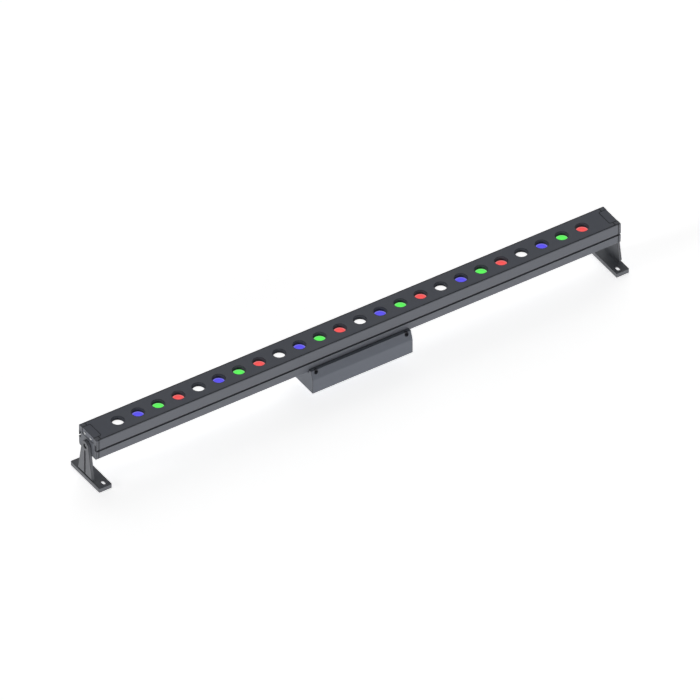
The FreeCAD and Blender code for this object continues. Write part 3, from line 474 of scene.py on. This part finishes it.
def lens_group():
    """Lens face: distance from the nearest light's axis as a share of the lens radius.

    The lights stand half a pitch off the origin, so a share of the pitch less one half is the
    distance along X from the nearest axis.
    """
    group, enter, leave = new_group(
        "lens_distance",
        [("Vector", "NodeSocketVector", None), ("Pitch", "NodeSocketFloat", LIGHT_PITCH),
         ("Radius", "NodeSocketFloat", LENS_RADIUS)],
        [("Distance", "NodeSocketFloat")])
    parts = group.nodes.new("ShaderNodeSeparateXYZ")
    group.links.new(enter.outputs["Vector"], parts.inputs[0])
    turns = math_node(group, "DIVIDE", parts.outputs["X"], enter.outputs["Pitch"])
    off = math_node(group, "SUBTRACT", math_node(group, "FRACT", turns), 0.5)
    along = math_node(group, "MULTIPLY", off, enter.outputs["Pitch"])
    across = math_node(group, "POWER", parts.outputs["Y"], 2.0)
    total = math_node(group, "ADD", math_node(group, "POWER", along, 2.0), across)
    group.links.new(
        math_node(group, "DIVIDE", math_node(group, "SQRT", total), enter.outputs["Radius"]),
        leave.inputs["Distance"])
    return group


# ---------------------------------------------------------------- materials
def use_group(tree, group, vector):
    """Group node fed with object coordinates."""
    node = tree.nodes.new("ShaderNodeGroup")
    node.node_tree = group
    tree.links.new(vector, node.inputs["Vector"])
    return node


def mixed(tree, factor, first, second):
    """Colour mix; first is a socket or a colour, second is a colour."""
    node = tree.nodes.new("ShaderNodeMix")
    node.data_type = "RGBA"
    tree.links.new(factor, node.inputs["Factor"])
    if isinstance(first, tuple):
        node.inputs[6].default_value = (*first, 1.0)
    else:
        tree.links.new(first, node.inputs[6])
    node.inputs[7].default_value = (*second, 1.0)
    return node.outputs[2]


def new_material(name):
    """Node material with its principled shader and object coordinates."""
    material = bpy.data.materials.new(FINISH_PREFIX + name)
    material.use_nodes = True
    tree = material.node_tree
    shader = tree.nodes["Principled BSDF"]
    coordinates = tree.nodes.new("ShaderNodeTexCoord").outputs["Object"]
    return tree, shader, coordinates


def relief(tree, shader, height, normal, strength):
    """Bump of a height on the shader's normal; normal may be None."""
    bump = tree.nodes.new("ShaderNodeBump")
    bump.inputs["Strength"].default_value = strength
    bump.inputs["Distance"].default_value = RELIEF_DEPTH
    tree.links.new(height, bump.inputs["Height"])
    if normal is not None:
        tree.links.new(normal, bump.inputs["Normal"])
    tree.links.new(bump.outputs["Normal"], shader.inputs["Normal"])


def paint_material(name, colour, settings, groups):
    """Grey powder coat: fine grain, soft edges with a painted dark line along them (painted shade in creases,
    a painted outline on outer edges), a little dust on top.
    """
    tree, shader, vector = new_material(name)
    grain = use_group(tree, groups["grain"], vector)
    grain.inputs["Colour"].default_value = (*colour, 1.0)
    grain.inputs["Scale"].default_value = settings.grain_scale
    grain.inputs["Variation"].default_value = settings.variation
    edge = use_group(tree, groups["edge"], vector)
    edge.inputs["Radius"].default_value = settings.edge_radius
    edge.inputs["Line radius"].default_value = settings.line_radius
    dust = use_group(tree, groups["dust"], vector)
    dust.inputs["Amount"].default_value = settings.dust
    # Painted shade in creases and a painted dark outline on outer edges, mixed into the paint's colour.
    shade = math_node(tree, "MULTIPLY", edge.outputs["Mask"], settings.edge_shade)
    edge_shaded = mixed(tree, shade, grain.outputs["Colour"], EDGE_SHADE_COLOUR)
    dusty = mixed(tree, dust.outputs["Mask"], edge_shaded, DUST_COLOUR)
    tree.links.new(dusty, shader.inputs["Base Color"])
    shader.inputs["Roughness"].default_value = settings.roughness
    relief(tree, shader, grain.outputs["Height"], edge.outputs["Normal"], settings.grain_strength)


def plain_material(name, colour, metallic, roughness, strength, settings, groups):
    """Bare metal, rubber or plastic: one colour with a fine grain."""
    tree, shader, vector = new_material(name)
    grain = use_group(tree, groups["grain"], vector)
    grain.inputs["Colour"].default_value = (*colour, 1.0)
    grain.inputs["Scale"].default_value = settings.grain_scale
    grain.inputs["Variation"].default_value = settings.variation
    tree.links.new(grain.outputs["Colour"], shader.inputs["Base Color"])
    shader.inputs["Metallic"].default_value = metallic
    shader.inputs["Roughness"].default_value = roughness
    relief(tree, shader, grain.outputs["Height"], None, strength)


def lens_material(name, colour, settings, groups):
    """Lit lens: coloured face that looks lit, with a painted highlight that makes the rim paler and duller.
    """
    tree, shader, vector = new_material(name)
    spread = use_group(tree, groups["lens"], vector)
    rim = smooth_step(tree, spread.outputs["Distance"], *RIM_LIMITS)
    # Painted highlight on the rim: the rim mask scaled by its strength.
    highlight = math_node(tree, "MULTIPLY", rim, settings.rim_highlight)
    tree.links.new(mixed(tree, highlight, colour, RIM_HIGHLIGHT_COLOUR), shader.inputs["Base Color"])
    tree.links.new(mixed(tree, highlight, colour, RIM_HIGHLIGHT_GLOW_COLOUR), shader.inputs["Emission Color"])
    seen = tree.nodes.new("ShaderNodeLightPath").outputs["Is Camera Ray"]
    tree.links.new(math_node(tree, "MULTIPLY", seen, settings.glow), shader.inputs["Emission Strength"])
    shader.inputs["Roughness"].default_value = LENS_ROUGHNESS


# ---------------------------------------------------------------- operators
class WASHER_OT_finishes(bpy.types.Operator):
    """Make the material of every slot and put it on the frame's nodes"""

    bl_idname = "washer.finishes"
    bl_label = "Finishes"

    def execute(self, context):
        scene = context.scene
        finish = scene.washer_finish
        groups = {"grain": grain_group(), "edge": edge_group(), "dust": dust_group(), "lens": lens_group()}
        for name, colour in PAINTS.items():
            paint_material(name, colour, finish, groups)
        for name, (colour, metallic, roughness, strength) in PLAIN_FINISHES.items():
            plain_material(name, colour, metallic, roughness, strength, finish, groups)
        for name, colour in LENS_LIGHT.items():
            lens_material(name, colour, scene.washer_lens, groups)
        for subpart in frame["record"]["subparts"]:
            node = frame["nodes"][subpart["node"]]
            for material_slot in node.material_slots:
                material_slot.material = finish_of(subpart["material_slot"])
        return {"FINISHED"}


class WASHER_OT_lenses(bpy.types.Operator):
    """Turn every lens: pocket, bowed cone, rim and a crowned face with a step inside the rim"""

    bl_idname = "washer.lenses"
    bl_label = "Lenses"

    def lens_profile(self, settings):
        """Radius and height of each ring of the lens, from the pocket's ceiling to the face.

        The flank is a straight cone bowed outwards by a half sine wave. The face is a quarter
        cosine wave in the radius, so it is level in the middle and steepest at the step.
        """
        share = np.linspace(0.0, 1.0, LENS_FLANK_RINGS)
        flank_top = LENS_HEIGHT - LENS_RIM_HEIGHT
        flank_r = LENS_FOOT_RADIUS + (LENS_RADIUS - LENS_FOOT_RADIUS) * share
        flank_r = flank_r + settings.flank_bulge * np.sin(np.pi * share)
        flank_h = flank_top * share
        edge = settings.edge_radius
        inner = LENS_RADIUS - settings.rim_width
        face_r = np.linspace(inner - settings.groove_depth, 0.0, LENS_FACE_RINGS)
        face_low = LENS_HEIGHT - settings.groove_depth
        face_h = face_low + settings.crown * np.cos(0.5 * np.pi * face_r / face_r[0])
        radii = np.concatenate((
            [0.0, POCKET_RADIUS - edge, POCKET_RADIUS, POCKET_RADIUS], flank_r,
            [LENS_RADIUS, LENS_RADIUS - edge, inner + edge, inner], face_r))
        heights = np.concatenate((
            [POCKET_DEPTH, POCKET_DEPTH, POCKET_DEPTH - edge, 0.0], flank_h,
            [LENS_HEIGHT - edge, LENS_HEIGHT, LENS_HEIGHT, LENS_HEIGHT - edge], face_h))
        return radii[:, None], heights[:, None]

    def execute(self, context):
        settings = context.scene.washer_lens
        radii, heights = self.lens_profile(settings)
        grid = turned_grid(radii, heights, ring_angles(settings.segments))
        for index in range(LIGHT_COUNT):
            colour = LIGHT_COLOURS[index % len(LIGHT_COLOURS)]
            label = f"{index + 1:02d}_{colour}"
            x = (index - (LIGHT_COUNT - 1) / 2) * LIGHT_PITCH
            points = placed(grid, (x, 0.0, BOARD_TOP), "+Z")
            build_piece("optic_" + label, [points], False, "lens_" + colour, ["lens_" + label])
        return {"FINISHED"}


class WASHER_OT_screws(bpy.types.Operator):
    """Turn every screw with a hexagon socket in its head"""

    bl_idname = "washer.screws"
    bl_label = "Screws"

    def screw_grid(self, screw, settings):
        """Rings of a screw from its tip to the floor of its socket.

        A ring's radius is round, or six-sided: the half width divided by the cosine of the angle
        from the middle of the nearest flat. Height 0 is the head's seat, or its face if sunk.
        """
        head_r, head_h = (size * MM for size in screw["head"])
        shank_r, length = (size * MM for size in screw["shank"])
        half_flats, depth = screw["socket"][0] * MM / 2, screw["socket"][1] * MM
        edge = settings.screw_edge
        rings = [(0.0, -length, 0), (shank_r - edge, -length, 0), (shank_r, edge - length, 0)]
        if screw["style"] == "sunk":
            top = 0.0
            rings += [(shank_r, -head_h, 0), (head_r, -edge / 2, 0), (head_r - edge / 2, top, 0)]
        else:
            top = head_h
            rings += [(shank_r, 0.0, 0), (head_r, 0.0, 0)]
        if screw["style"] == "round":
            turn = np.linspace(0.0, 0.5 * np.pi, CROWN_RINGS + 1)[:-1]
            rise = head_h * CROWN_SHARE
            shoulder = head_r - half_flats - 2 * edge
            crown = zip(head_r - shoulder + shoulder * np.cos(turn), head_h - rise + rise * np.sin(turn))
            rings += [(r, h, 0) for r, h in crown]
        if screw["style"] == "flat":
            rings += [(head_r, top - edge, 0), (head_r - edge, top, 0)]
        lip = half_flats + edge / 2
        rings += [(lip, top, 1), (half_flats, top - edge / 2, 1), (half_flats, top - depth, 1)]
        rings += [(0.0, top - depth - edge, 0)]
        radii, heights, six_sided = (np.array(column)[:, None] for column in zip(*rings))
        angles = ring_angles(settings.screw_segments)
        from_flat = (angles + np.pi / 6) % (np.pi / 3) - np.pi / 6
        radii = radii * np.where(six_sided == 1, 1.0 / np.cos(from_flat), 1.0)
        return turned_grid(radii, heights, angles)

    def execute(self, context):
        settings = context.scene.washer_detail
        for node, screw in SCREWS.items():
            grid = self.screw_grid(screw, settings)
            grids = [placed(grid, (x * MM, y * MM, z * MM), axis) for x, y, z, axis in screw["places"]]
            build_piece("turned_" + node, grids, False, screw["slot"], [node])
        return {"FINISHED"}


class WASHER_OT_gland_nut(bpy.types.Operator):
    """Turn the fluted, domed nut of the cable gland"""

    bl_idname = "washer.gland_nut"
    bl_label = "Gland nut"

    def execute(self, context):
        """Rings go up the flank, over the dome, into the mouth and down the inside.

        On the flank the radius dips by the flute depth times the squared half cosine of the angle
        times the flute count, faded in and out along the length by a sine.
        """
        settings = context.scene.washer_detail
        mouth, bore = NUT_MOUTH_RADIUS, NUT_BORE_RADIUS
        flank_h = np.linspace(NUT_CHAMFER, NUT_FLANK, NUT_FLANK_RINGS)
        turn = np.linspace(0.0, 0.5 * np.pi, NUT_DOME_RINGS + 1)[1:]
        dome_low = mouth + NUT_WALL
        dome_r = dome_low + (NUT_RADIUS - dome_low) * np.cos(turn)
        dome_h = NUT_FLANK + (NUT_LENGTH - NUT_FLANK) * np.sin(turn)
        shelf = NUT_LENGTH - NUT_WALL
        radii = np.concatenate((
            [NUT_RADIUS - NUT_LIP], np.full(NUT_FLANK_RINGS, NUT_RADIUS), dome_r,
            [mouth + NUT_LIP, mouth, mouth, bore, bore]))
        heights = np.concatenate((
            [0.0], flank_h, dome_h, [NUT_LENGTH, NUT_LENGTH - NUT_LIP, shelf, shelf, 0.0]))
        fade = np.zeros(len(radii))
        share = np.linspace(0.0, 1.0, NUT_FLANK_RINGS)
        fade[1:NUT_FLANK_RINGS + 1] = np.sin(np.pi * share) ** 0.5
        angles = ring_angles(settings.nut_segments)
        wave = (0.5 + 0.5 * np.cos(settings.flute_count * angles)) ** 2
        flutes = settings.flute_depth * fade[:, None] * wave
        grid = turned_grid(radii[:, None] - flutes, heights[:, None], angles)
        build_piece("fluted_gland_nut", [placed(grid, NUT_BASE, "+X")], True, "gland_black", ["gland_nut"])
        return {"FINISHED"}


class WASHER_OT_stage(bpy.types.Operator):
    """Set up the floor, the lights, the surroundings and the camera"""

    bl_idname = "washer.stage"
    bl_label = "Stage"

    def seen_directly(self, tree):
        """1 for rays from the camera, from a mirror-like surface or through a clear one."""
        path = tree.nodes.new("ShaderNodeLightPath")
        seen = math_node(tree, "MAXIMUM", path.outputs["Is Camera Ray"], path.outputs["Is Glossy Ray"])
        return math_node(tree, "MAXIMUM", seen, path.outputs["Is Transmission Ray"])

    def add_floor(self, scene, settings):
        """White floor that keeps a soft shadow."""
        mesh = bpy.data.meshes.new("floor")
        corners = [
            (x * FLOOR_REACH, y * FLOOR_REACH, FLOOR_LEVEL) for x, y in ((-1, -1), (1, -1), (1, 1), (-1, 1))]
        mesh.from_pydata(corners, [], [(0, 1, 2, 3)])
        material = bpy.data.materials.new("floor")
        material.use_nodes = True
        tree = material.node_tree
        shader = tree.nodes["Principled BSDF"]
        shader.inputs["Base Color"].default_value = FLOOR_COLOUR
        shader.inputs["Roughness"].default_value = 1.0
        shader.inputs["Specular IOR Level"].default_value = 0.0
        shader.inputs["Emission Color"].default_value = WHITE
        lift = math_node(tree, "MULTIPLY", self.seen_directly(tree), settings.floor_lift)
        light = math_node(tree, "MAXIMUM", lift, settings.floor_bounce)
        tree.links.new(light, shader.inputs["Emission Strength"])
        mesh.materials.append(material)
        floor = bpy.data.objects.new("floor", mesh)
        scene.collection.objects.link(floor)

    def add_sun(self, scene, name, towards, strength, spread):
        """Soft light from the direction that towards points to, without a mirror image of its own."""
        data = bpy.data.lights.new(name, "SUN")
        data.energy = strength
        data.angle = spread
        lamp = bpy.data.objects.new(name, data)
        lamp.rotation_euler = Vector(towards).to_track_quat("Z", "Y").to_euler()
        lamp.visible_glossy = False
        scene.collection.objects.link(lamp)

    def add_world(self, scene, settings):
        """White where the camera looks past the floor, an even dim light for everything else."""
        world = bpy.data.worlds.new("surroundings")
        world.use_nodes = True
        tree = world.node_tree
        background = tree.nodes["Background"]
        background.inputs["Color"].default_value = WHITE
        camera_ray = tree.nodes.new("ShaderNodeLightPath").outputs["Is Camera Ray"]
        strength = math_node(tree, "MAXIMUM", camera_ray, settings.ambient)
        tree.links.new(strength, background.inputs["Strength"])
        scene.world = world

    def add_camera(self, scene, settings):
        """Parallel view from the left front and above."""
        turn, lift = settings.camera_azimuth, settings.camera_elevation
        back = Vector((math.sin(turn) * math.cos(lift), -math.cos(turn) * math.cos(lift), math.sin(lift)))
        data = bpy.data.cameras.new("camera")
        data.type = "ORTHO"
        data.ortho_scale = settings.camera_width
        data.clip_end = CAMERA_FAR
        camera = bpy.data.objects.new("camera", data)
        camera.location = Vector(CAMERA_AIM) + CAMERA_DISTANCE * back
        camera.rotation_euler = back.to_track_quat("Z", "Y").to_euler()
        scene.collection.objects.link(camera)
        scene.camera = camera

    def execute(self, context):
        scene = context.scene
        settings = scene.washer_stage
        self.add_floor(scene, settings)
        for name, (towards, spread) in SUNS.items():
            self.add_sun(scene, name, towards, getattr(settings, name), spread)
        self.add_world(scene, settings)
        self.add_camera(scene, settings)
        scene.view_settings.view_transform = "Standard"
        return {"FINISHED"}


# ---------------------------------------------------------------- panel and registration
class WASHER_PT_panel(bpy.types.Panel):
    """Steps and settings in the 3D view's sidebar"""

    bl_idname = "WASHER_PT_panel"
    bl_label = "Wall washer"
    bl_space_type = "VIEW_3D"
    bl_region_type = "UI"
    bl_category = "Wall washer"

    def draw(self, context):
        for operator in OPERATORS:
            self.layout.operator(operator.bl_idname)
        for name, group in SETTINGS.items():
            box = self.layout.box()
            for field in group.__annotations__:
                box.prop(getattr(context.scene, name), field)


SETTINGS = {
    "washer_lens": WASHER_PG_lens,
    "washer_detail": WASHER_PG_detail,
    "washer_finish": WASHER_PG_finish,
    "washer_stage": WASHER_PG_stage,
}
OPERATORS = (
    WASHER_OT_finishes,
    WASHER_OT_lenses,
    WASHER_OT_screws,
    WASHER_OT_gland_nut,
    WASHER_OT_stage,
)


def register():
    """Register every class and hang the settings on the scene."""
    for item in (*SETTINGS.values(), *OPERATORS, WASHER_PT_panel):
        bpy.utils.register_class(item)
    for name, group in SETTINGS.items():
        setattr(bpy.types.Scene, name, bpy.props.PointerProperty(type=group))


def unregister():
    """Take the settings and classes away again."""
    for name in SETTINGS:
        delattr(bpy.types.Scene, name)
    for item in reversed((*SETTINGS.values(), *OPERATORS, WASHER_PT_panel)):
        bpy.utils.unregister_class(item)


def main():
    """Build everything in order."""
    register()
    bpy.ops.washer.finishes()
    bpy.ops.washer.lenses()
    bpy.ops.washer.screws()
    bpy.ops.washer.gland_nut()
    bpy.ops.washer.stage()


if __name__ == "__main__":
    main()
